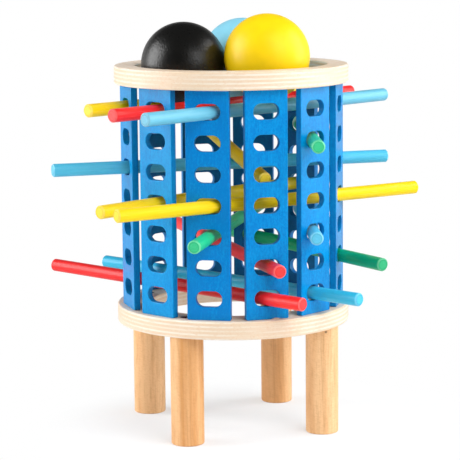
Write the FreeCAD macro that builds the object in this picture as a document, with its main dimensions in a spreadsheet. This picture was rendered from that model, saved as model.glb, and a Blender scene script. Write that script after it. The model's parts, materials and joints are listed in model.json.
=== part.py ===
import FreeCAD, Part
import math
import os

import Sketcher

# Marble drop stick game. Twelve slotted slats stand in mortises between two plywood rings, and four round
# legs are screwed under the lower ring. Sticks lie through the slots and carry three balls in the upper
# ring's mouth. The origin is on the tower's axis at the floor, +Z is up, and slat 3 faces -Y.

SIZES = {
    "ball_diameter": 52,
    "ball_gap": 0.3,
    "mouth_play": 5.2,
    "rim_width": 13.2,
    "ring_thickness": 11,
    "ring_edge_round": 1,
    "leg_count": 4,
    "leg_diameter": 20,
    "leg_length": 66.5,
    "leg_inset": 1,
    "leg_foot_round": 1,
    "slat_count": 12,
    "slat_width": 26.4,
    "slat_thickness": 4,
    "slat_length": 136.5,
    "slat_corner_round": 1,
    "slat_edge_round": 0.4,
    "slot_rows": 7,
    "row_pitch": 18.5,
    "slot_headroom": 1.6,
    "slot_side_room": 0.35,
    "steepest_crossing": 45,
    "tenon_width": 18,
    "tenon_thickness": 3,
    "tenon_length": 6,
    "tenon_fit": 0.1,
    "mortise_relief": 0.5,
    "stick_diameter": 8,
    "stick_length": 216,
    "stick_chamfer": 0.8,
    "stick_gap": 0.15,
    "screw_length": 40,
    "screw_shank": 4,
    "screw_head": 7.6,
    "screw_tip": 3,
    "screw_fit": 0.15,
    "screw_sink": 0.2,
    "pilot_relief": 1,
    "recess_arm": 2.2,
    "recess_width": 0.9,
    "recess_depth": 1.4,
}

FRONT_SLAT = 3
UP = FreeCAD.Vector(0, 0, 1)

os.makedirs("parts", exist_ok=True)
doc = FreeCAD.newDocument("stick_tower")
sheet = doc.addObject("Spreadsheet::Sheet", "sizes")
for line, (alias, amount) in enumerate(SIZES.items(), start=1):
    sheet.set(f"A{line}", alias)
    sheet.set(f"B{line}", str(amount))
    sheet.setAlias(f"B{line}", alias)
probe = doc.addObject("App::FeaturePython", "probe")
doc.recompute()


def size(expression):
    return float(probe.evalExpression(expression))


# The mouth takes three balls side by side. The slats stand in the middle of its rim, and the lower ring's
# hole is as wide as the legs' seats leave it.
BALL_SPACING = "(sizes.ball_diameter + sizes.ball_gap)"
MOUTH_RADIUS = f"({BALL_SPACING} / sqrt(3) + (sizes.ball_diameter + sizes.mouth_play) / 2)"
RING_RADIUS = f"({MOUTH_RADIUS} + sizes.rim_width)"
SLAT_CIRCLE = f"({MOUTH_RADIUS} + sizes.rim_width / 2)"
LEG_CIRCLE = f"({RING_RADIUS} - sizes.leg_inset - sizes.leg_diameter / 2)"
DROP_RADIUS = f"({LEG_CIRCLE} - sizes.leg_diameter / 2)"

# A slot lets a stick through at the steepest crossing
SLOT_HEIGHT = "(sizes.stick_diameter + sizes.slot_headroom)"
SLOT_WIDTH = (
    "(sizes.stick_diameter / cos(sizes.steepest_crossing)"
    " + sizes.slat_thickness * tan(sizes.steepest_crossing) + 2 * sizes.slot_side_room)"
)

# Heights above the floor
SLAT_FOOT = "(sizes.leg_length + sizes.ring_thickness)"
TOP_RING_FOOT = f"({SLAT_FOOT} + sizes.slat_length)"


def origin_part(body, role):
    return next(part for part in body.Origin.OriginFeatures if part.Role == role)


def new_sketch(body, name, role, height="0"):
    sketch = body.newObject("Sketcher::SketchObject", name)
    sketch.AttachmentSupport = [(origin_part(body, role), "")]
    sketch.MapMode = "FlatFace"
    if height != "0":
        sketch.setExpression("AttachmentOffset.Base.z", height)
    return sketch


def draw_circle(sketch, radius):
    number = sketch.addGeometry(Part.Circle(FreeCAD.Vector(), UP, size(radius)))
    sketch.addConstraint(Sketcher.Constraint("Coincident", number, 3, -1, 1))
    fixed = sketch.addConstraint(Sketcher.Constraint("Radius", number, size(radius)))
    sketch.setExpression(f"Constraints[{fixed}]", radius)


def place_point(sketch, number, point, x, y):
    for kind, axis, expression in (("DistanceX", -2, x), ("DistanceY", -1, y)):
        if expression == "0":
            sketch.addConstraint(Sketcher.Constraint("PointOnObject", number, point, axis))
            continue
        rule = Sketcher.Constraint(kind, -1, 1, number, point, size(expression))
        fixed = sketch.addConstraint(rule)
        sketch.setExpression(f"Constraints[{fixed}]", expression)


def draw_polygon(sketch, corners):
    points = [FreeCAD.Vector(size(x), size(y), 0) for x, y in corners]
    count = len(points)
    for number in range(count):
        sketch.addGeometry(Part.LineSegment(points[number], points[(number + 1) % count]))
    for number in range(count):
        follow = (number + 1) % count
        sketch.addConstraint(Sketcher.Constraint("Coincident", number, 2, follow, 1))
    for number, (x, y) in enumerate(corners):
        place_point(sketch, number, 1, x, y)


def draw_rectangle(sketch, width, low, high):
    left = f"-{width} / 2"
    right = f"{width} / 2"
    draw_polygon(sketch, [(left, low), (right, low), (right, high), (left, high)])


def draw_slot(sketch, width, height, middle):
    radius = size(height) / 2
    reach = size(width) / 2 - radius
    y = size(middle)
    for side in (1, -1):
        turn = math.pi / 2
        round_end = Part.Circle(FreeCAD.Vector(side * reach, y, 0), UP, radius)
        start = -turn if side == 1 else turn
        sketch.addGeometry(Part.ArcOfCircle(round_end, start, start + math.pi))
    for side in (1, -1):
        ends = [FreeCAD.Vector(side * x, y + side * radius, 0) for x in (reach, -reach)]
        sketch.addGeometry(Part.LineSegment(*ends))
    for first, second in ((0, 2), (2, 1), (1, 3), (3, 0)):
        sketch.addConstraint(Sketcher.Constraint("Tangent", first, 2, second, 1))
    sketch.addConstraint(Sketcher.Constraint("Equal", 0, 1))
    fixed = sketch.addConstraint(Sketcher.Constraint("Radius", 0, radius))
    sketch.setExpression(f"Constraints[{fixed}]", f"{height} / 2")
    place_point(sketch, 0, 3, f"({width} - {height}) / 2", middle)
    place_point(sketch, 1, 3, f"-({width} - {height}) / 2", middle)


def add_feature(body, kind, name, sketch, length, reverse=False, both_sides=False):
    feature = body.newObject(f"PartDesign::{kind}", name)
    feature.Profile = sketch
    feature.Reversed = reverse
    if both_sides:
        feature.SideType = "Symmetric"
    feature.setExpression("Length", length)
    doc.recompute()
    return feature


def ring_pattern(body, name, feature, count):
    pattern = body.newObject("PartDesign::PolarPattern", name)
    pattern.Originals = [feature]
    pattern.Axis = (origin_part(body, "Z_Axis"), [""])
    pattern.Angle = 360
    pattern.setExpression("Occurrences", count)
    body.Tip = pattern
    doc.recompute()
    return pattern


def soften(body, kind, name, base, wanted, amount):
    chosen = [f"Edge{n}" for n, edge in enumerate(base.Shape.Edges, start=1) if wanted(edge.BoundBox)]
    feature = body.newObject(f"PartDesign::{kind}", name)
    feature.Base = (base, chosen)
    feature.setExpression("Size" if kind == "Chamfer" else "Radius", amount)
    body.Tip = feature
    doc.recompute()
    return feature


def flat_at(height):
    return lambda box: box.ZLength < 1e-6 and abs(box.ZMin - height) < 1e-6


def new_body(label):
    body = doc.addObject("PartDesign::Body", label)
    body.Label = label
    return body


pieces = []


# Rings: plywood hoops with a mortise for each slat, cut from the side that faces the slats
def make_ring(label, hole_radius, foot, mortises_on_top):
    body = new_body(label)
    sketch = new_sketch(body, f"{label}_plan", "XY_Plane")
    draw_circle(sketch, RING_RADIUS)
    draw_circle(sketch, hole_radius)
    pad = add_feature(body, "Pad", f"{label}_hoop", sketch, "sizes.ring_thickness")
    soften(body, "Fillet", f"{label}_round", pad, lambda box: box.ZLength < 1e-6, "sizes.ring_edge_round")
    level = "sizes.ring_thickness" if mortises_on_top else "0"
    sketch = new_sketch(body, f"{label}_mortise_plan", "XY_Plane", level)
    middle = f"-{SLAT_CIRCLE}"
    half = "(sizes.tenon_thickness / 2 + sizes.tenon_fit)"
    draw_rectangle(sketch, "(sizes.tenon_width + 2 * sizes.tenon_fit)", f"{middle} - {half}", f"{middle} + {half}")
    depth = "sizes.tenon_length + sizes.mortise_relief"
    mortise = add_feature(body, "Pocket", f"{label}_mortise", sketch, depth, reverse=not mortises_on_top)
    ring_pattern(body, f"{label}_mortises", mortise, "sizes.slat_count")
    body.Placement = FreeCAD.Placement(FreeCAD.Vector(0, 0, size(foot)), FreeCAD.Rotation())
    pieces.append(body)
    return body


# The screws go down through the lower ring into the legs, midway between two slats
SHANK_RADIUS = "(sizes.screw_shank / 2)"
HEAD_RADIUS = "(sizes.screw_head / 2)"
HEAD_DEPTH = f"({HEAD_RADIUS} - {SHANK_RADIUS})"


def bore_for_screws(body, angle):
    sketch = new_sketch(body, "screw_hole_section", "XZ_Plane")
    # the section's upright axis is the sketch's own Y
    turn = FreeCAD.Rotation(FreeCAD.Vector(0, 1, 0), angle - 90)
    sketch.AttachmentOffset = FreeCAD.Placement(FreeCAD.Vector(), turn)
    wall = f"{LEG_CIRCLE} + {SHANK_RADIUS} + sizes.screw_fit"
    mouth = f"{LEG_CIRCLE} + {HEAD_RADIUS} + sizes.screw_fit"
    seat = "sizes.ring_thickness - sizes.screw_sink"
    corners = [
        (LEG_CIRCLE, "0"),
        (wall, "0"),
        (wall, f"{seat} - {HEAD_DEPTH}"),
        (mouth, seat),
        (mouth, "sizes.ring_thickness"),
        (LEG_CIRCLE, "sizes.ring_thickness"),
    ]
    draw_polygon(sketch, corners)
    middle = FreeCAD.Vector(size(LEG_CIRCLE), 0, 0)
    axis = sketch.addGeometry(Part.LineSegment(middle, middle + FreeCAD.Vector(0, 1, 0)), True)
    sketch.addConstraint(Sketcher.Constraint("Coincident", axis, 1, 0, 1))
    sketch.addConstraint(Sketcher.Constraint("Coincident", axis, 2, len(corners) - 1, 1))
    groove = body.newObject("PartDesign::Groove", "screw_hole")
    groove.Profile = sketch
    groove.ReferenceAxis = (sketch, ["Axis0"])
    groove.Angle = 360
    doc.recompute()
    ring_pattern(body, "screw_holes", groove, "sizes.leg_count")


def slat_angle(slat):
    return 360 / size("sizes.slat_count") * (slat - FRONT_SLAT)


def leg_angle(leg):
    # the first leg stands in the gap before the front slat
    return slat_angle(FRONT_SLAT - 0.5) + 360 / size("sizes.leg_count") * leg


def standing_at(angle, circle, height):
    turn = FreeCAD.Rotation(UP, angle)
    place = turn.multVec(FreeCAD.Vector(0, -size(circle), size(height)))
    return FreeCAD.Placement(place, turn)


make_ring("top_ring", MOUTH_RADIUS, TOP_RING_FOOT, mortises_on_top=False)
bottom_ring = make_ring("bottom_ring", DROP_RADIUS, "sizes.leg_length", mortises_on_top=True)
bore_for_screws(bottom_ring, leg_angle(0))


# Slats: painted plywood with a column of round-ended slots and a tenon at each end
def make_slat(label, angle):
    body = new_body(label)
    sketch = new_sketch(body, f"{label}_face", "XZ_Plane")
    draw_rectangle(sketch, "sizes.slat_width", "0", "sizes.slat_length")
    board = add_feature(body, "Pad", f"{label}_board", sketch, "sizes.slat_thickness", both_sides=True)
    side = size("sizes.slat_width") / 2
    face = size("sizes.slat_thickness") / 2

    def corner(box):
        return box.XLength < 1e-6 and box.ZLength < 1e-6 and abs(abs(box.XMin) - side) < 1e-6

    def on_a_face(box):
        return box.YLength < 1e-6 and abs(abs(box.YMin) - face) < 1e-6

    soften(body, "Fillet", f"{label}_corners", board, corner, "sizes.slat_corner_round")
    sketch = new_sketch(body, f"{label}_slot_shape", "XZ_Plane")
    lowest = "(sizes.slat_length - (sizes.slot_rows - 1) * sizes.row_pitch) / 2"
    draw_slot(sketch, SLOT_WIDTH, SLOT_HEIGHT, lowest)
    slot = add_feature(body, "Pocket", f"{label}_slot", sketch, "2 * sizes.slat_thickness", both_sides=True)
    slots = body.newObject("PartDesign::LinearPattern", f"{label}_slots")
    slots.Originals = [slot]
    slots.Direction = (sketch, ["V_Axis"])
    slots.setExpression("Length", "(sizes.slot_rows - 1) * sizes.row_pitch")
    slots.setExpression("Occurrences", "sizes.slot_rows")
    body.Tip = slots
    doc.recompute()
    soften(body, "Fillet", f"{label}_edges", slots, on_a_face, "sizes.slat_edge_round")
    for name, low, high in (
        ("lower", "-sizes.tenon_length", "sizes.slat_edge_round"),
        ("upper", "sizes.slat_length - sizes.slat_edge_round", "sizes.slat_length + sizes.tenon_length"),
    ):
        sketch = new_sketch(body, f"{label}_{name}_tenon_face", "XZ_Plane")
        draw_rectangle(sketch, "sizes.tenon_width", low, high)
        add_feature(body, "Pad", f"{label}_{name}_tenon", sketch, "sizes.tenon_thickness", both_sides=True)
    body.Placement = standing_at(angle, SLAT_CIRCLE, SLAT_FOOT)
    pieces.append(body)


for slat in range(1, int(size("sizes.slat_count")) + 1):
    make_slat(f"slat_{slat:02d}", slat_angle(slat))


# Legs: dowels with a rounded foot and a pilot hole for the screw
def make_leg(label, angle):
    body = new_body(label)
    sketch = new_sketch(body, f"{label}_section", "XY_Plane")
    draw_circle(sketch, "sizes.leg_diameter / 2")
    dowel = add_feature(body, "Pad", f"{label}_dowel", sketch, "sizes.leg_length")
    soften(body, "Fillet", f"{label}_foot", dowel, flat_at(0), "sizes.leg_foot_round")
    sketch = new_sketch(body, f"{label}_pilot_section", "XY_Plane", "sizes.leg_length")
    draw_circle(sketch, SHANK_RADIUS)
    depth = "sizes.screw_length + sizes.screw_sink - sizes.ring_thickness + sizes.pilot_relief"
    add_feature(body, "Pocket", f"{label}_pilot", sketch, depth)
    body.Placement = standing_at(angle, LEG_CIRCLE, "0")
    pieces.append(body)


# Screws: countersunk, with a cross recess, all four in one node
def make_screw(label, angle):
    body = new_body(label)
    sketch = new_sketch(body, f"{label}_section", "XZ_Plane")
    neck = f"sizes.screw_length - {HEAD_DEPTH}"
    corners = [
        ("0", "0"),
        (SHANK_RADIUS, "sizes.screw_tip"),
        (SHANK_RADIUS, neck),
        (HEAD_RADIUS, "sizes.screw_length"),
        ("0", "sizes.screw_length"),
    ]
    draw_polygon(sketch, corners)
    turned = body.newObject("PartDesign::Revolution", f"{label}_turned")
    turned.Profile = sketch
    turned.ReferenceAxis = (sketch, ["V_Axis"])
    turned.Angle = 360
    sketch = new_sketch(body, f"{label}_recess_plan", "XY_Plane", "sizes.screw_length")
    draw_rectangle(sketch, "sizes.recess_width", "0", "sizes.recess_arm")
    arm = add_feature(body, "Pocket", f"{label}_recess", sketch, "sizes.recess_depth")
    ring_pattern(body, f"{label}_cross", arm, "4")
    foot = f"{SLAT_FOOT} - sizes.screw_sink - sizes.screw_length"
    body.Placement = standing_at(angle, LEG_CIRCLE, foot)
    return body


screws = []
for leg in range(int(size("sizes.leg_count"))):
    make_leg(f"leg_{leg + 1:02d}", leg_angle(leg))
    screws.append(make_screw(f"screw_{leg + 1:02d}", leg_angle(leg)))
leg_screws = doc.addObject("Part::Compound", "leg_screws")
leg_screws.Label = "leg_screws"
leg_screws.Links = screws
pieces.append(leg_screws)

# Sticks that lie level: row from the top, the slat where the stick's near end stands out and the one at its
# far end, its place across each slot as a share of the play there (-1 to 1, positive to the right seen from
# outside), and the share of its overhang that is at the near end
LEVEL_STICKS = {
    "stick_yellow_1": (1, 1, 9, -1, 0.2, 0.322),
    "stick_red_1": (1, 2, 8, 0.02, -0.62, 0.435),
    "stick_blue_1": (1, 3, 7, 0.1, -1, 0.5),
    "stick_green_1": (2, 5, 8, 0, 0, 0.309),
    "stick_blue_2": (3, 1, 7, -1, 0.44, 0.555),
    "stick_yellow_3": (4, 2, 8, -0.43, 0.17, 0.554),
    "stick_yellow_4": (4, 3, 6, 0, 0, 0.505),
    "stick_green_2": (5, 3, 9, -0.16, -0.21, 0.408),
    "stick_blue_3": (5, 5, 8, 0, 0, 0.209),
    "stick_green_3": (6, 6, 9, 0, 0, 0.386),
    "stick_red_2": (6, 4, 10, 1, -0.8, 0.183),
    "stick_red_3": (7, 4, 12, 0.2, -1, 0.28),
    "stick_blue_4": (7, 5, 11, 0.08, -0.18, 0.419),
}

# One stick has slipped: it is held in its far slot, slopes down over a stick of the row below and stops
# against the inner face of the slat across the tower
SLIPPED_STICK = "stick_yellow_2"
SLIPPED_ROW = 2
SLIPPED_TIP_SLAT = 4
SLIPPED_HOLD_SLAT = 10
SLIPPED_TIP_SIDE = 0.18
SLIPPED_HOLD_SIDE = -0.07
SLIPPED_RESTS_ON = "stick_blue_2"

stick_radius = size("sizes.stick_diameter / 2")
stick_length = size("sizes.stick_length")
stick_gap = size("sizes.stick_gap")
axes = {}


def row_height(row):
    middle_row = (size("sizes.slot_rows") + 1) / 2
    return size(f"{SLAT_FOOT} + sizes.slat_length / 2") + (middle_row - row) * size("sizes.row_pitch")


def side_play(first, last):
    # How far a stick on a slot's bottom may lie to the side before its slanted section comes within the
    # gap of the slot's round end
    crossing = math.radians(abs(90 - 180 * abs(last - first) / size("sizes.slat_count")))
    half_width = stick_radius / math.cos(crossing)
    shift = size("sizes.slat_thickness / 2") * math.tan(crossing)
    end_radius = size(f"{SLOT_HEIGHT} / 2") - stick_gap
    end_centre = size(f"({SLOT_WIDTH} - {SLOT_HEIGHT}) / 2")
    rooms = []
    for degrees in range(-90, 91, 5):
        way = math.radians(degrees)
        rise = stick_radius * math.sin(way) - (end_radius - stick_radius)
        reach = math.sqrt(max(0, end_radius ** 2 - rise ** 2))
        rooms.append(end_centre - shift - half_width * math.cos(way) + reach)
    return min(rooms)


def slot_point(slat, side, height):
    turn = FreeCAD.Rotation(UP, slat_angle(slat))
    return turn.multVec(FreeCAD.Vector(side, -size(SLAT_CIRCLE), height))


def make_stick(label, start, along):
    body = new_body(label)
    sketch = new_sketch(body, f"{label}_section", "XY_Plane")
    draw_circle(sketch, "sizes.stick_diameter / 2")
    dowel = add_feature(body, "Pad", f"{label}_dowel", sketch, "sizes.stick_length")
    soften(body, "Chamfer", f"{label}_ends", dowel, lambda box: box.ZLength < 1e-6, "sizes.stick_chamfer")
    body.Placement = FreeCAD.Placement(start, FreeCAD.Rotation(UP, along))
    axes[label] = (start, along)
    pieces.append(body)


for label, (row, first, last, first_side, last_side, near_share) in LEVEL_STICKS.items():
    play = side_play(first, last)
    height = row_height(row) - size(f"{SLOT_HEIGHT} / 2") + stick_radius + stick_gap
    near = slot_point(first, first_side * play, height)
    far = slot_point(last, last_side * play, height)
    span = far - near
    overhang = stick_length - span.Length
    along = FreeCAD.Vector(span).normalize()
    make_stick(label, near - along * overhang * near_share, along)


def slope_over(drop_at_hold, distance, crossing, spacing):
    # The slope of a line that starts drop_at_hold above a level line's height and passes it, in plan at the
    # distance and crossing angle given, with the spacing between the two lines
    sine = math.sin(crossing) ** 2
    a = distance ** 2 * sine - spacing ** 2
    b = -2 * drop_at_hold * distance * sine
    c = (drop_at_hold ** 2 - spacing ** 2) * sine
    return (-b - math.sqrt(b ** 2 - 4 * a * c)) / (2 * a)


play = side_play(SLIPPED_TIP_SLAT, SLIPPED_HOLD_SLAT)
hold = slot_point(SLIPPED_HOLD_SLAT, SLIPPED_HOLD_SIDE * play, row_height(SLIPPED_ROW))
facing = slot_point(SLIPPED_TIP_SLAT, SLIPPED_TIP_SIDE * play, row_height(SLIPPED_ROW))
level_way = FreeCAD.Vector(facing - hold).normalize()
rest_start, rest_along = axes[SLIPPED_RESTS_ON]
to_rest = rest_start - hold
crossing = level_way.x * rest_along.y - level_way.y * rest_along.x
distance = (to_rest.x * rest_along.y - to_rest.y * rest_along.x) / crossing
spacing = 2 * stick_radius + stick_gap
slope = slope_over(hold.z - rest_start.z, distance, math.asin(abs(crossing)), spacing)
inward = FreeCAD.Vector(level_way.x, level_way.y, -slope).normalize()
lean = math.atan(slope)
reach = (facing - hold).Length - size("sizes.slat_thickness / 2") - stick_gap - stick_radius * math.sin(lean)
tip = hold + inward * (reach / math.cos(lean))
make_stick(SLIPPED_STICK, tip, -inward)


# Balls: three side by side, each resting on the top row's sticks. The group stands off the tower's axis by
# a share of the mouth's play. Angles are in degrees from +X.
BALLS = ["ball_blue", "ball_black", "ball_yellow"]
FIRST_BALL_ANGLE = 88.5
GROUP_ANGLE = 103
GROUP_SHARE = 0.55


def on_circle(radius, angle):
    return FreeCAD.Vector(radius * math.cos(math.radians(angle)), radius * math.sin(math.radians(angle)), 0)


def resting_height(centre, reach):
    heights = []
    for start, along in (axes[label] for label, stick in LEVEL_STICKS.items() if stick[0] == 1):
        offset = start - centre
        apart = abs(offset.x * along.y - offset.y * along.x)
        if apart < reach:
            heights.append(start.z + math.sqrt(reach ** 2 - apart ** 2))
    return max(heights)


group_centre = on_circle(GROUP_SHARE * size("sizes.mouth_play / 2 - sizes.ball_gap"), GROUP_ANGLE)
ball_reach = size("(sizes.ball_diameter + sizes.stick_diameter) / 2") + stick_gap
for number, label in enumerate(BALLS):
    ball = doc.addObject("Part::Sphere", label)
    ball.Label = label
    ball.setExpression("Radius", "sizes.ball_diameter / 2")
    angle = FIRST_BALL_ANGLE + 360 / len(BALLS) * number
    centre = group_centre + on_circle(size(f"{BALL_SPACING} / sqrt(3)"), angle)
    centre.z = resting_height(centre, ball_reach)
    ball.Placement = FreeCAD.Placement(centre, FreeCAD.Rotation())
    pieces.append(ball)

doc.recompute()
for thing in doc.Objects:
    if {"Invalid", "Error"} & set(thing.State):
        raise RuntimeError(f"{thing.Label} did not build")
for piece in pieces:
    if piece.Shape.isNull() or not piece.Shape.isValid():
        raise RuntimeError(f"{piece.Label} has no valid shape")
for piece in pieces:
    piece.Shape.exportStep(f"parts/{piece.Label}.step")
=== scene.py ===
import json
import math

import bpy
from mathutils import Euler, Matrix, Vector


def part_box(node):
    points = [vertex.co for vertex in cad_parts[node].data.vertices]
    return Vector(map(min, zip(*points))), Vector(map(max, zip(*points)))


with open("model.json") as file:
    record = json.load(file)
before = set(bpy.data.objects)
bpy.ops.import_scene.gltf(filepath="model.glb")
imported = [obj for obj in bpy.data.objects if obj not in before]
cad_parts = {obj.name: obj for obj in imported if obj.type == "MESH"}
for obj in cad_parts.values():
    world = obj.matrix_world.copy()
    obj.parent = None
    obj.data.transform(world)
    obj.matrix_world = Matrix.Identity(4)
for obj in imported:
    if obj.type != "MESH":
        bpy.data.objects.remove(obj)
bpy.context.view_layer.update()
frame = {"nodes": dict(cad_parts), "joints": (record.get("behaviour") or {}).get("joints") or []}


# Rings: two hoops cut from birch plywood, sanded, with rounded edges and a clear matt varnish. The lower
# one sits on the legs and the upper one on the slats. Their edges show the plies, light where a ply's
# grain runs along the edge and tan where it is cut across.
MILLIMETRES = 1000


class Wire:
    """A node's output. Arithmetic on it adds Math nodes to its tree."""

    def __init__(self, finish, socket):
        self.finish = finish
        self.socket = socket

    def output(self, name):
        return Wire(self.finish, self.socket.node.outputs[name])

    def __add__(self, other):
        return self.finish.math("ADD", self, other)

    __radd__ = __add__

    def __sub__(self, other):
        return self.finish.math("SUBTRACT", self, other)

    def __rsub__(self, other):
        return self.finish.math("SUBTRACT", other, self)

    def __mul__(self, other):
        return self.finish.math("MULTIPLY", self, other)

    __rmul__ = __mul__

    def __truediv__(self, other):
        return self.finish.math("DIVIDE", self, other)

    def __rtruediv__(self, other):
        return self.finish.math("DIVIDE", other, self)

    def __abs__(self):
        return self.finish.math("ABSOLUTE", self)


class Finish:
    """A node tree, filled by add(), which takes a node's type, its settings and its sockets' values."""

    def __init__(self, tree):
        self.tree = tree
        tree.nodes.clear()

    def add(self, kind, settings=None, sockets=None, output=0):
        node = self.tree.nodes.new(kind)
        for name, value in (settings or {}).items():
            setattr(node, name, value)
        for name, value in (sockets or {}).items():
            if isinstance(value, Wire):
                self.tree.links.new(value.socket, node.inputs[name])
            else:
                node.inputs[name].default_value = value
        return Wire(self, node.outputs[output] if node.outputs else None)

    def math(self, operation, *values, clamp=False):
        settings = {"operation": operation, "use_clamp": clamp}
        return self.add("ShaderNodeMath", settings, dict(enumerate(values)))

    def vector_math(self, operation, *vectors, output=0, **sockets):
        sockets.update(enumerate(vectors))
        return self.add("ShaderNodeVectorMath", {"operation": operation}, sockets, output)

    def place(self):
        position = self.add("ShaderNodeTexCoord", output="Object")
        return self.vector_math("SCALE", position, Scale=MILLIMETRES)

    def facing(self):
        return self.add("ShaderNodeTexCoord", output="Normal")

    def turned(self, vector, degrees):
        sockets = {"Vector": vector, "Angle": math.radians(degrees)}
        return self.add("ShaderNodeVectorRotate", {"rotation_type": "Z_AXIS"}, sockets)

    def split(self, vector):
        parts = self.add("ShaderNodeSeparateXYZ", sockets={0: vector})
        return parts, parts.output("Y"), parts.output("Z")

    def joined(self, x, y, z):
        return self.add("ShaderNodeCombineXYZ", sockets={0: x, 1: y, 2: z})

    def noise(self, vector, scale=1, detail=2, roughness=0.5):
        sockets = {"Vector": vector, "Scale": scale, "Detail": detail, "Roughness": roughness}
        return self.add("ShaderNodeTexNoise", sockets=sockets)

    def figure(self, x, y, z, waves, detail=2, roughness=0.5):
        # waves are the marks per millimetre along each of the three ways
        x, y, z = (way * count for way, count in zip((x, y, z), waves))
        return self.noise(self.joined(x, y, z), detail=detail, roughness=roughness)

    def mix(self, factor, first, second):
        sockets = {0: factor, 6: first, 7: second}
        return self.add("ShaderNodeMix", {"data_type": "RGBA"}, sockets, output=2)

    def between(self, value, low, high, share=1):
        # 0 where the value is at low or before it, the whole share where it is at high or past it
        sockets = {"Value": value, "From Min": low, "From Max": high, "To Max": share}
        return self.add("ShaderNodeMapRange", {"interpolation_type": "SMOOTHSTEP"}, sockets)

    def stained(self, under, stain, pattern, **limits):
        return self.mix(self.between(pattern, **limits), under, stain)

    def relief(self, height):
        # height is in millimetres
        sockets = {"Height": height, "Strength": 1, "Distance": 1 / MILLIMETRES}
        return self.add("ShaderNodeBump", sockets=sockets)

    def surface(self, colour, roughness, **others):
        sockets = {"Base Color": colour, "Roughness": roughness}
        sockets.update({name.replace("_", " "): value for name, value in others.items()})
        shader = self.add("ShaderNodeBsdfPrincipled", sockets=sockets)
        self.add("ShaderNodeOutputMaterial", sockets={"Surface": shader})


def new_finish(name):
    material = bpy.data.materials.new(name)
    material.use_nodes = True
    return material, Finish(material.node_tree)


def colour(red, green, blue):
    # the colour as a screen shows it, 0 to 255, turned into light
    shares = [part / 255 for part in (red, green, blue)]
    return [part / 12.92 if part < 0.04045 else ((part + 0.055) / 1.055) ** 2.4 for part in shares] + [1]


def toward(tint, goal, share):
    return [part + (goal - part) * share for part in tint[:3]] + [1]


nodes = frame["nodes"]


def dress(node, material):
    nodes[node].data.materials.clear()
    nodes[node].data.materials.append(material)


PLIES = 9
FACE_MARGIN = 0.02
LONG_GRAIN = colour(243, 231, 216)
END_GRAIN = colour(234, 208, 177)
GRAIN_LINE = colour(228, 190, 148)
GLUE_LINE = colour(206, 164, 122)
GLUE_STAIN = {"low": 0.16, "high": 0, "share": 0.18}
PLY_SHIFT = 6.625
PLY_STREAKS = {"waves": (0.05, 0.9, 0.8), "detail": 4, "roughness": 0.6}
PLY_STREAK_STAIN = {"low": 0.45, "high": 0.75, "share": 0.55}
PLY_STREAK_DEPTH = 0.024
PLY_FIBRES = {"waves": (0.25, 4, 3)}
PLY_FIBRE_STAIN = {"low": 0.5, "high": 0.85, "share": 0.25}
PLY_FIBRE_DEPTH = 0.036
PLY_PATCHES = {"waves": (0.012, 0.05, 3.1), "detail": 1}
PLY_PATCH_STAIN = {"low": 0.4, "high": 0.75, "share": 0.5}
CUT_ACROSS = {"low": 0.25, "high": 0.95}
LEAST_END_SHARE = 0.4
RING_ROUGHNESS = 0.36
RING_UNEVENNESS = 0.15
RING_TURNS = {"bottom_ring": ("birch_ply_lower", 20), "top_ring": ("birch_ply_upper", 62)}


def plywood(name, ring, turn):
    low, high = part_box(ring)
    foot = low.z * MILLIMETRES - FACE_MARGIN
    ply_thickness = ((high.z - low.z) * MILLIMETRES + 2 * FACE_MARGIN) / PLIES
    material, finish = new_finish(name)
    x, y, z = finish.split(finish.turned(finish.place(), turn))
    facing_x, facing_y = finish.split(finish.turned(finish.facing(), turn))[:2]
    # every second ply is laid with its grain across its neighbours'
    height = (z - foot) / ply_thickness
    ply = finish.math("FLOOR", height)
    crossed = finish.math("MODULO", ply, 2)
    along = x + (y - x) * crossed
    across = y + (x - y) * crossed
    cut_across = abs(facing_x + (facing_y - facing_x) * crossed)
    streaks = finish.figure(along, across, ply * PLY_SHIFT + z, **PLY_STREAKS)
    fibres = finish.figure(along, across, z, **PLY_FIBRES)
    patches = finish.figure(along, across, ply, **PLY_PATCHES)
    end_share = finish.between(cut_across, **CUT_ACROSS) * (patches + LEAST_END_SHARE)
    wood = finish.mix(end_share, LONG_GRAIN, END_GRAIN)
    wood = finish.stained(wood, GRAIN_LINE, streaks, **PLY_STREAK_STAIN)
    wood = finish.stained(wood, GRAIN_LINE, fibres, **PLY_FIBRE_STAIN)
    wood = finish.stained(wood, END_GRAIN, patches, **PLY_PATCH_STAIN)
    from_glue = finish.math("PINGPONG", height, 0.5) * ply_thickness
    wood = finish.stained(wood, GLUE_LINE, from_glue, **GLUE_STAIN)
    relief = finish.relief(fibres * PLY_FIBRE_DEPTH + streaks * PLY_STREAK_DEPTH)
    finish.surface(wood, streaks * RING_UNEVENNESS + RING_ROUGHNESS, Normal=relief)
    return material


for ring, (name, turn) in RING_TURNS.items():
    dress(ring, plywood(name, ring, turn))


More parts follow.
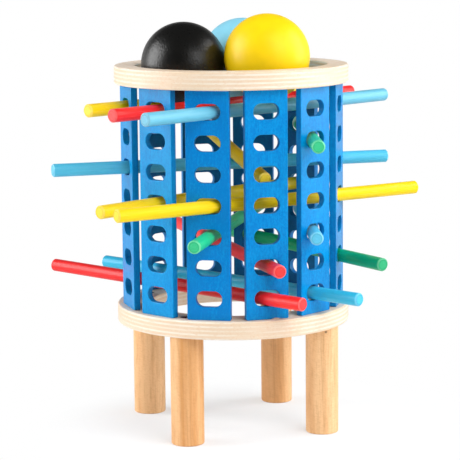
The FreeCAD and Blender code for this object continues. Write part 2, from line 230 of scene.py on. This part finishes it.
# Slats: strips of thin plywood with a column of round-ended slots, sprayed satin blue on every side after
# sanding and glued into the rings' mortises. The grain still stands out a little through the paint, which
# is lighter where it is thin. The faces inside the tower and the slots' walls carry a painted shade, a
# darker blue in place of the shade that falls there. One slat has a chip at its foot.
SLAT_BLUE = colour(0, 123, 200)
SLAT_BLUE_THIN = colour(0, 152, 219)
# the darker blue painted as shade on faces inside the tower
SLAT_BLUE_PAINTED_SHADE = colour(0, 60, 110)
SLAT_GRAIN = {"waves": (1.1, 1.1, 0.14), "detail": 4, "roughness": 0.62}
SLAT_GRAIN_THINNING = {"low": 0.35, "high": 0.7, "share": 0.4}
SLAT_SPRAY = {"waves": (0.8, 0.8, 0.55), "detail": 4, "roughness": 0.7}
SLAT_SPRAY_THINNING = {"low": 0.38, "high": 0.62, "share": 0.5}
SLAT_CLOUDS = {"waves": (0.09, 0.09, 0.03), "detail": 3}
SLAT_CLOUD_THINNING = {"low": 0.38, "high": 0.62, "share": 0.25}
# painted light: slat_01 and slat_02 painted lighter and slat_03 and slat_04 darker, for the light on each
SLAT_PAINTED_LIGHT = {"slat_01": 0.1, "slat_02": 0.13, "slat_03": -0.5, "slat_04": -0.17}
COMMON_THINNESS = -0.05
INSIDE_SHADE_RANGE = {"low": 60, "high": -60}
PAINTED_SHADE_SHARE = 0.5
SLAT_PAINT_DEPTH = 0.065
SLAT_ROUGHNESS = 0.17
SLAT_UNEVENNESS = 0.08
INSIDE_ROUGHNESS = 0.3
SLAT_GLOSS = 0.22
BARE_WOOD = colour(238, 222, 192)
CHIPS = {"slat_04": (38.2, -55.5, 77.6)}
CHIP_FLATNESS = 0.22
CHIP_EDGE = {"low": 1, "high": 0.6}
CHIP_RAGGEDNESS = 0.5


def slat_paint(slat):
    material, finish = new_finish(slat + "_blue_paint")
    x, y, z = finish.split(finish.place())
    grain = finish.figure(x, y, z, **SLAT_GRAIN)
    spray = finish.figure(x, y, z, **SLAT_SPRAY)
    clouds = finish.figure(x, y, z, **SLAT_CLOUDS)
    streaked = finish.between(grain, **SLAT_GRAIN_THINNING)
    sprayed = finish.between(spray, **SLAT_SPRAY_THINNING)
    clouded = finish.between(clouds, **SLAT_CLOUD_THINNING)
    # the slat's own offset: painted light for the listed slats, a common coat for the rest
    coat_and_painted_light = SLAT_PAINTED_LIGHT.get(slat, COMMON_THINNESS)
    thinness = finish.math("ADD", streaked + sprayed + clouded, coat_and_painted_light, clamp=True)
    paint = finish.mix(thinness, SLAT_BLUE, SLAT_BLUE_THIN)
    # outward is the distance from the tower's axis where the slat faces out, and minus that where it
    # faces in
    from_axis = finish.joined(x, y, 0)
    outward = finish.vector_math("DOT_PRODUCT", from_axis, finish.facing(), output="Value")
    # painted shade: the blue darkens on faces turned into the tower, fully inside and half on the slots'
    # walls
    inside_shade_mask = finish.between(outward, **INSIDE_SHADE_RANGE)
    paint = finish.mix(inside_shade_mask * PAINTED_SHADE_SHARE, paint, SLAT_BLUE_PAINTED_SHADE)
    if slat in CHIPS:
        chip_x, chip_y, chip_z = CHIPS[slat]
        flattened = finish.joined(x * CHIP_FLATNESS, y * CHIP_FLATNESS, z)
        chip = (chip_x * CHIP_FLATNESS, chip_y * CHIP_FLATNESS, chip_z)
        away = finish.vector_math("DISTANCE", flattened, chip, output="Value")
        paint = finish.stained(paint, BARE_WOOD, away + grain * CHIP_RAGGEDNESS, **CHIP_EDGE)
    relief = finish.relief((grain + spray) * SLAT_PAINT_DEPTH)
    roughness = (grain + spray) * SLAT_UNEVENNESS + inside_shade_mask * INSIDE_ROUGHNESS + SLAT_ROUGHNESS
    finish.surface(paint, roughness, Normal=relief, Specular_IOR_Level=SLAT_GLOSS)
    return material


for slat in [node for node in nodes if node.startswith("slat")]:
    dress(slat, slat_paint(slat))


# Legs: turned hardwood dowels with a rounded foot, sanded and varnished matt, each held by one screw that
# comes down through the lower ring. Each leg's lightness is partly its wood's own tone and partly painted
# light, making up for light that falls unevenly on the legs. One has a small knot near its top.
LEG_WOOD = colour(220, 156, 92)
LEG_WOOD_LIGHT = colour(250, 206, 154)
LEG_LINE = colour(192, 129, 71)
# each leg's lightness: its wood's own tone, plus painted light making up for light that falls unevenly
LEG_TONE_AND_PAINTED_LIGHT = {"leg_01": 0.4, "leg_02": 0.85, "leg_03": 0.6, "leg_04": 0.9}
LEG_BEND = {"waves": (0.03, 0.03, 0.022), "detail": 1}
LEG_BEND_REACH = 6
LEG_GRAIN_SLANT = 0.6
LEG_BANDS = {"waves": (0.22, 0.05, 0.006)}
LEG_BAND_CONTRAST = 1.8
LEG_LINES = {"waves": (0.8, 0.4, 0.06), "detail": 3, "roughness": 0.6}
LEG_LINE_STAIN = {"low": 0.45, "high": 0.72, "share": 0.36}
LEG_LINE_DEPTH = 0.03
LEG_FLECKS = {"waves": (0.5, 0.5, 1.3), "detail": 3, "roughness": 0.65}
LEG_FLECK_STAIN = {"low": 0.42, "high": 0.7, "share": 0.2}
LEG_FLECK_SLOPE = 0.3
LEG_FLECK_DEPTH = 0.02
LEG_ROUGHNESS = 0.45
LEG_UNEVENNESS = 0.15
KNOT_BROWN = colour(122, 78, 46)
KNOTS = {"leg_02": (63, -24.9, 64.2)}
KNOT_EDGE = {"low": 1.5, "high": 0.9, "share": 0.8}


def leg_wood(leg, tone_and_painted_light):
    material, finish = new_finish(leg + "_beech")
    place = finish.place()
    x, y, z = finish.split(place)
    # the wood's layers lie across this way, and wander a little
    bend = finish.figure(x, y, z, **LEG_BEND) * LEG_BEND_REACH
    across = x + y * LEG_GRAIN_SLANT + bend
    bands = finish.figure(across, y, z, **LEG_BANDS)
    lines = finish.figure(across, y, z, **LEG_LINES)
    flecks = finish.figure(across, y, z + across * LEG_FLECK_SLOPE, **LEG_FLECKS)
    lightness = (bands - 0.5) * LEG_BAND_CONTRAST + tone_and_painted_light
    wood = finish.mix(lightness, LEG_WOOD, LEG_WOOD_LIGHT)
    wood = finish.stained(wood, LEG_LINE, lines, **LEG_LINE_STAIN)
    wood = finish.stained(wood, LEG_LINE, flecks, **LEG_FLECK_STAIN)
    if leg in KNOTS:
        away = finish.vector_math("DISTANCE", place, KNOTS[leg], output="Value")
        wood = finish.stained(wood, KNOT_BROWN, away + flecks, **KNOT_EDGE)
    relief = finish.relief(lines * LEG_LINE_DEPTH + flecks * LEG_FLECK_DEPTH)
    finish.surface(wood, lines * LEG_UNEVENNESS + LEG_ROUGHNESS, Normal=relief)
    return material


for leg, tone_and_painted_light in LEG_TONE_AND_PAINTED_LIGHT.items():
    dress(leg, leg_wood(leg, tone_and_painted_light))


# Screws: black countersunk wood screws of steel, one above each leg, with their heads level with the lower
# ring. The black has worn grey in places.
SCREW_BLACK = colour(38, 37, 38)
SCREW_WORN = colour(96, 94, 92)
SCREW_WEAR = {"scale": 1.3, "detail": 3}
SCREW_WEAR_STAIN = {"low": 0.45, "high": 0.75, "share": 0.5}
SCREW_ROUGHNESS = 0.3
SCREW_UNEVENNESS = 0.2


def screw_steel():
    material, finish = new_finish("screw_black_steel")
    wear = finish.noise(finish.place(), **SCREW_WEAR)
    steel = finish.stained(SCREW_BLACK, SCREW_WORN, wear, **SCREW_WEAR_STAIN)
    finish.surface(steel, wear * SCREW_UNEVENNESS + SCREW_ROUGHNESS, Metallic=1)
    return material


dress("leg_screws", screw_steel())


# Sticks: lengths of dowel with chamfered ends, dipped in satin paint. The dowel's grain shows through the
# paint as fine lines along the stick, which break up its highlight. The chamfers are paler, partly thin
# paint and partly a painted highlight; the end faces are paler as painted light, with a painted shade in a
# line round each. Sticks of one colour differ a little in shade.
slides = {joint["child"]: joint for joint in frame["joints"]}
STICK_COLOURS = {
    "stick_yellow": colour(255, 217, 0),
    "stick_red": colour(251, 40, 40),
    "stick_blue": colour(84, 198, 235),
    "stick_blue_1": colour(108, 190, 217),
    "stick_blue_4": colour(56, 196, 236),
    "stick_green": colour(34, 203, 136),
    "stick_green_3": colour(6, 178, 116),
}
STICK_THICK_PAINT = 0.08
STICK_RIM_SHADE = 0.4
STICK_WEAR_AND_LIGHT = 0.15
STICK_GRAIN_STRETCH = 0.97
STICK_GRAIN = {"scale": 1.5, "detail": 4, "roughness": 0.65}
STICK_THIN_STAIN = {"low": 0.35, "high": 0.7}
STICK_SCUFF_AND_GLINT_STAIN = {"low": 0.58, "high": 0.7, "share": 0.45}
STICK_CLOUDS = {"scale": 0.4, "detail": 2}
STICK_CLOUD_STAIN = {"low": 0.6, "high": 0.75, "share": 0.2}
END_FACE = {"low": 0.8, "high": 0.95}
CHAMFER = {"low": 0.2, "high": 0.5}
RIM_SHADE_LINE = {"low": 2.2, "high": 2.8, "share": 0.4}
END_FACE_LIGHT = 0.2
CHAMFER_WEAR_AND_HIGHLIGHT = 0.75
STICK_GRAIN_DEPTH = 0.09
STICK_ROUGHNESS = 0.2
STICK_UNEVENNESS = 0.25
STICK_GLOSS = 0.36


def stick_paint(stick, tint):
    material, finish = new_finish(stick + "_paint")
    place = finish.place()
    axis = Vector(slides[stick]["axis"])
    # places are drawn together along the stick, so that the grain comes out long
    along = finish.vector_math("DOT_PRODUCT", place, axis, output="Value")
    shortening = finish.vector_math("SCALE", axis, Scale=along * -STICK_GRAIN_STRETCH)
    drawn_together = finish.vector_math("ADD", place, shortening)
    grain = finish.noise(drawn_together, **STICK_GRAIN)
    clouds = finish.noise(drawn_together, **STICK_CLOUDS)
    endward = abs(finish.vector_math("DOT_PRODUCT", finish.facing(), axis, output="Value"))
    end_face = finish.between(endward, **END_FACE)
    chamfer = finish.between(endward, **CHAMFER) - end_face
    low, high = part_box(stick)
    from_middle = finish.vector_math("SUBTRACT", place, (low + high) / 2 * MILLIMETRES)
    sideways = finish.vector_math("CROSS_PRODUCT", from_middle, axis)
    from_axis = finish.vector_math("LENGTH", sideways, output="Value")
    rim_shade = finish.between(from_axis, **RIM_SHADE_LINE) * end_face
    wear_and_light_tint = toward(tint, 1, STICK_WEAR_AND_LIGHT)
    paint = finish.stained(toward(tint, 0, STICK_THICK_PAINT), tint, grain, **STICK_THIN_STAIN)
    # pale flecks on the grain's high places: partly scuffs, partly painted glints that break up the
    # highlight
    paint = finish.stained(paint, wear_and_light_tint, grain, **STICK_SCUFF_AND_GLINT_STAIN)
    paint = finish.stained(paint, wear_and_light_tint, clouds, **STICK_CLOUD_STAIN)
    # painted light: the end faces are paler as lit ones, the chamfers partly as thin paint, partly as a
    # painted highlight
    paint = finish.mix(end_face * END_FACE_LIGHT + chamfer * CHAMFER_WEAR_AND_HIGHLIGHT, paint, wear_and_light_tint)
    # painted shade: a darker line round each end face, where it meets the chamfer
    paint = finish.mix(rim_shade, paint, toward(tint, 0, STICK_RIM_SHADE))
    relief = finish.relief(grain * STICK_GRAIN_DEPTH)
    roughness = grain * STICK_UNEVENNESS + STICK_ROUGHNESS
    finish.surface(paint, roughness, Normal=relief, Specular_IOR_Level=STICK_GLOSS)
    return material


for stick in [node for node in nodes if node.startswith("stick")]:
    common_tint = STICK_COLOURS[stick.rpartition("_")[0]]
    dress(stick, stick_paint(stick, STICK_COLOURS.get(stick, common_tint)))


# Balls: turned wooden balls with several coats of satin paint. The light ones are so smooth that only a
# fine orange peel is left, and the black one still shows the wood's fibres in its highlights.
BALL_TINTS = {
    "ball_black": colour(17, 17, 16),
    "ball_yellow": colour(255, 216, 0),
    "ball_blue": colour(139, 213, 238),
}
SMOOTH_BALL = {"gloss": 0.34, "roughness": 0.32, "fibre_depth": 0.03, "peel_depth": 0.02}
FIBROUS_BALL = {"gloss": 0.58, "roughness": 0.22, "fibre_depth": 0.18, "peel_depth": 0.12}
FIBROUS_BALLS = ("ball_black",)
BALL_FIBRES = {"waves": (0.6, 0.45, 0.3), "detail": 3, "roughness": 0.65}
BALL_PEEL = {"scale": 0.9}
BALL_CLOUDS = {"scale": 0.12, "detail": 3}
BALL_CLOUD_STAIN = {"low": 0.3, "high": 0.7}
BALL_DARKENING = 0.06
BALL_UNEVENNESS = 0.16


def ball_paint(ball, tint, gloss, roughness, fibre_depth, peel_depth):
    material, finish = new_finish(ball + "_paint")
    place = finish.place()
    x, y, z = finish.split(place)
    fibres = finish.figure(x + z, y, z - x, **BALL_FIBRES)
    peel = finish.noise(place, **BALL_PEEL)
    clouds = finish.noise(place, **BALL_CLOUDS)
    paint = finish.stained(tint, toward(tint, 0, BALL_DARKENING), clouds, **BALL_CLOUD_STAIN)
    relief = finish.relief(fibres * fibre_depth + peel * peel_depth)
    roughness = fibres * BALL_UNEVENNESS + roughness
    finish.surface(paint, roughness, Normal=relief, Specular_IOR_Level=gloss)
    return material


for ball, tint in BALL_TINTS.items():
    kind = FIBROUS_BALL if ball in FIBROUS_BALLS else SMOOTH_BALL
    dress(ball, ball_paint(ball, tint, **kind))


# Table and room: a plain white table that keeps the shadow under the tower, with white all round. What the
# finishes reflect is the same white behind the tower and a dim room in front of it and above.
CAMERA_SIDE = math.radians(12.37)
TO_CAMERA = (math.sin(CAMERA_SIDE), -math.cos(CAMERA_SIDE), 0)
FLOOR_REACH = 15
FLOOR_BOUNCE = (0.9, 0.9, 0.9, 1)
FLOOR_SHADE = (0.475, 0.49, 0.51, 1)
FLOOR_LIFT = 0.47
SHADE_MIDDLE = (0.025, -0.025, 0)
BEYOND_SHADE = {"low": 0.08, "high": 0.15}
DIM_ROOM = 0.03
BRIGHT_BACKDROP = 0.58
BACK_FLOOR = {"low": 0.5, "high": 0.1}
BACK_WALL = {"low": -0.1, "high": -0.7}
LOW_WALL = {"low": 0.5, "high": 0.1}
ROOM_LIGHT = 0.28
WHITE = (1, 1, 1, 1)


def mixed(finish, factor, first, second):
    return finish.add("ShaderNodeMixShader", sockets={0: factor, 1: first, 2: second})


def kinds_of_ray(finish):
    seen = finish.add("ShaderNodeLightPath", output="Is Camera Ray")
    kinds = (seen.output("Is Glossy Ray"), seen.output("Is Transmission Ray"))
    return seen, finish.math("ADD", *kinds, clamp=True)


def table_white():
    material, finish = new_finish("floor_white")
    place = finish.add("ShaderNodeTexCoord", output="Object")
    before = finish.vector_math("DOT_PRODUCT", place, TO_CAMERA, output="Value")
    from_shade = finish.vector_math("DISTANCE", place, SHADE_MIDDLE, output="Value")
    seen, mirrored = kinds_of_ray(finish)
    dim = finish.add("ShaderNodeEmission", sockets={"Strength": DIM_ROOM})
    bright = finish.add("ShaderNodeEmission", sockets={"Strength": BRIGHT_BACKDROP})
    reflected = mixed(finish, finish.between(before, **BACK_FLOOR), dim, bright)
    bounce = finish.add("ShaderNodeBsdfDiffuse", sockets={"Color": FLOOR_BOUNCE})
    unseen = mixed(finish, mirrored, bounce, reflected)
    shade = finish.add("ShaderNodeBsdfDiffuse", sockets={"Color": FLOOR_SHADE})
    lift = finish.add("ShaderNodeEmission", sockets={"Strength": FLOOR_LIFT})
    near = finish.add("ShaderNodeAddShader", sockets={0: shade, 1: lift})
    far = finish.add("ShaderNodeEmission", sockets={"Strength": 1})
    shown = mixed(finish, finish.between(from_shade, **BEYOND_SHADE), near, far)
    both = mixed(finish, seen, unseen, shown)
    finish.add("ShaderNodeOutputMaterial", sockets={"Surface": both})
    return material


def add_table():
    corners = [(x * FLOOR_REACH, y * FLOOR_REACH, 0) for x, y in ((-1, -1), (1, -1), (1, 1), (-1, 1))]
    mesh = bpy.data.meshes.new("floor")
    mesh.from_pydata(corners, [], [(0, 1, 2, 3)])
    mesh.materials.append(table_white())
    floor = bpy.data.objects.new("floor", mesh)
    bpy.context.scene.collection.objects.link(floor)


def background(room, strength):
    return room.add("ShaderNodeBackground", sockets={"Color": WHITE, "Strength": strength})


def add_room():
    world = bpy.data.worlds.new("room")
    world.use_nodes = True
    bpy.context.scene.world = world
    room = Finish(world.node_tree)
    way = room.add("ShaderNodeTexCoord", output="Generated")
    before = room.vector_math("DOT_PRODUCT", way, TO_CAMERA, output="Value")
    rise = room.split(way)[2]
    backdrop = room.between(before, **BACK_WALL) * room.between(rise, **LOW_WALL)
    seen, mirrored = kinds_of_ray(room)
    bright = background(room, BRIGHT_BACKDROP)
    reflected = mixed(room, backdrop, background(room, DIM_ROOM), bright)
    unseen = mixed(room, mirrored, background(room, ROOM_LIGHT), reflected)
    shown = mixed(room, seen, unseen, background(room, 1))
    room.add("ShaderNodeOutputWorld", sockets={"Surface": shown})


add_table()
add_room()


# Lamps: a large soft box on each side of the tower, a dimmer one in front on the right, and a fill from
# above that no finish reflects. Each is aimed at the tower's middle.
AIM = Vector((0, 0, 0.14))
SOFT_BOXES = {
    "soft_box_left": {"turn": -90, "rise": 18, "distance": 1.2, "size": (0.9, 0.95), "glow": 5.2},
    "soft_box_right": {"turn": 96, "rise": 21, "distance": 1.2, "size": (0.8, 1.05), "glow": 3.6},
    "soft_box_front": {"turn": 42, "rise": 25, "distance": 1.6, "size": (1, 0.9), "glow": 1.8},
    "fill": {"turn": 38, "rise": 47, "distance": 1.8, "size": (1.3, 1.1), "glow": 4.35},
}
NOT_REFLECTED = ("fill",)


def add_soft_box(name, turn, rise, distance, size, glow):
    width, height = size
    lamp = bpy.data.lights.new(name, "AREA")
    lamp.shape = "RECTANGLE"
    lamp.size = width
    lamp.size_y = height
    lamp.energy = glow * math.pi * width * height
    turn = CAMERA_SIDE + math.radians(turn)
    rise = math.radians(rise)
    way = Vector((math.sin(turn) * math.cos(rise), -math.cos(turn) * math.cos(rise), math.sin(rise)))
    holder = bpy.data.objects.new(name, lamp)
    holder.location = AIM + way * distance
    holder.rotation_euler = way.to_track_quat("Z", "Y").to_euler()
    holder.visible_glossy = name not in NOT_REFLECTED
    bpy.context.scene.collection.objects.link(holder)


for name, values in SOFT_BOXES.items():
    add_soft_box(name, **values)


# Camera: a long lens 1.2 m away, a little above the upper ring and turned a little round the tower to its
# right, looking slightly down.
CAMERA_DISTANCE = 1.2173
CAMERA_HEIGHT = 0.3075
CAMERA_PITCH = 0.1515
CAMERA_ROLL = -0.0093
CAMERA_YAW = 0.0013
CAMERA_NEAREST = 0.05
FOCAL_PIXELS = 1979.04
PICTURE_PIXELS = 460
SENSOR_WIDTH = 36

camera_data = bpy.data.cameras.new("camera")
camera_data.sensor_width = SENSOR_WIDTH
camera_data.lens = FOCAL_PIXELS / PICTURE_PIXELS * SENSOR_WIDTH
camera_data.clip_start = CAMERA_NEAREST
camera = bpy.data.objects.new("camera", camera_data)
camera.location = (TO_CAMERA[0] * CAMERA_DISTANCE, TO_CAMERA[1] * CAMERA_DISTANCE, CAMERA_HEIGHT)
swing = Euler((math.pi / 2 - CAMERA_PITCH, 0, CAMERA_SIDE + CAMERA_YAW)).to_matrix()
roll = Euler((0, 0, CAMERA_ROLL)).to_matrix()
camera.rotation_euler = (swing @ roll).to_euler()
bpy.context.scene.collection.objects.link(camera)
bpy.context.scene.camera = camera

view = bpy.context.scene.view_settings
view.view_transform = "Standard"
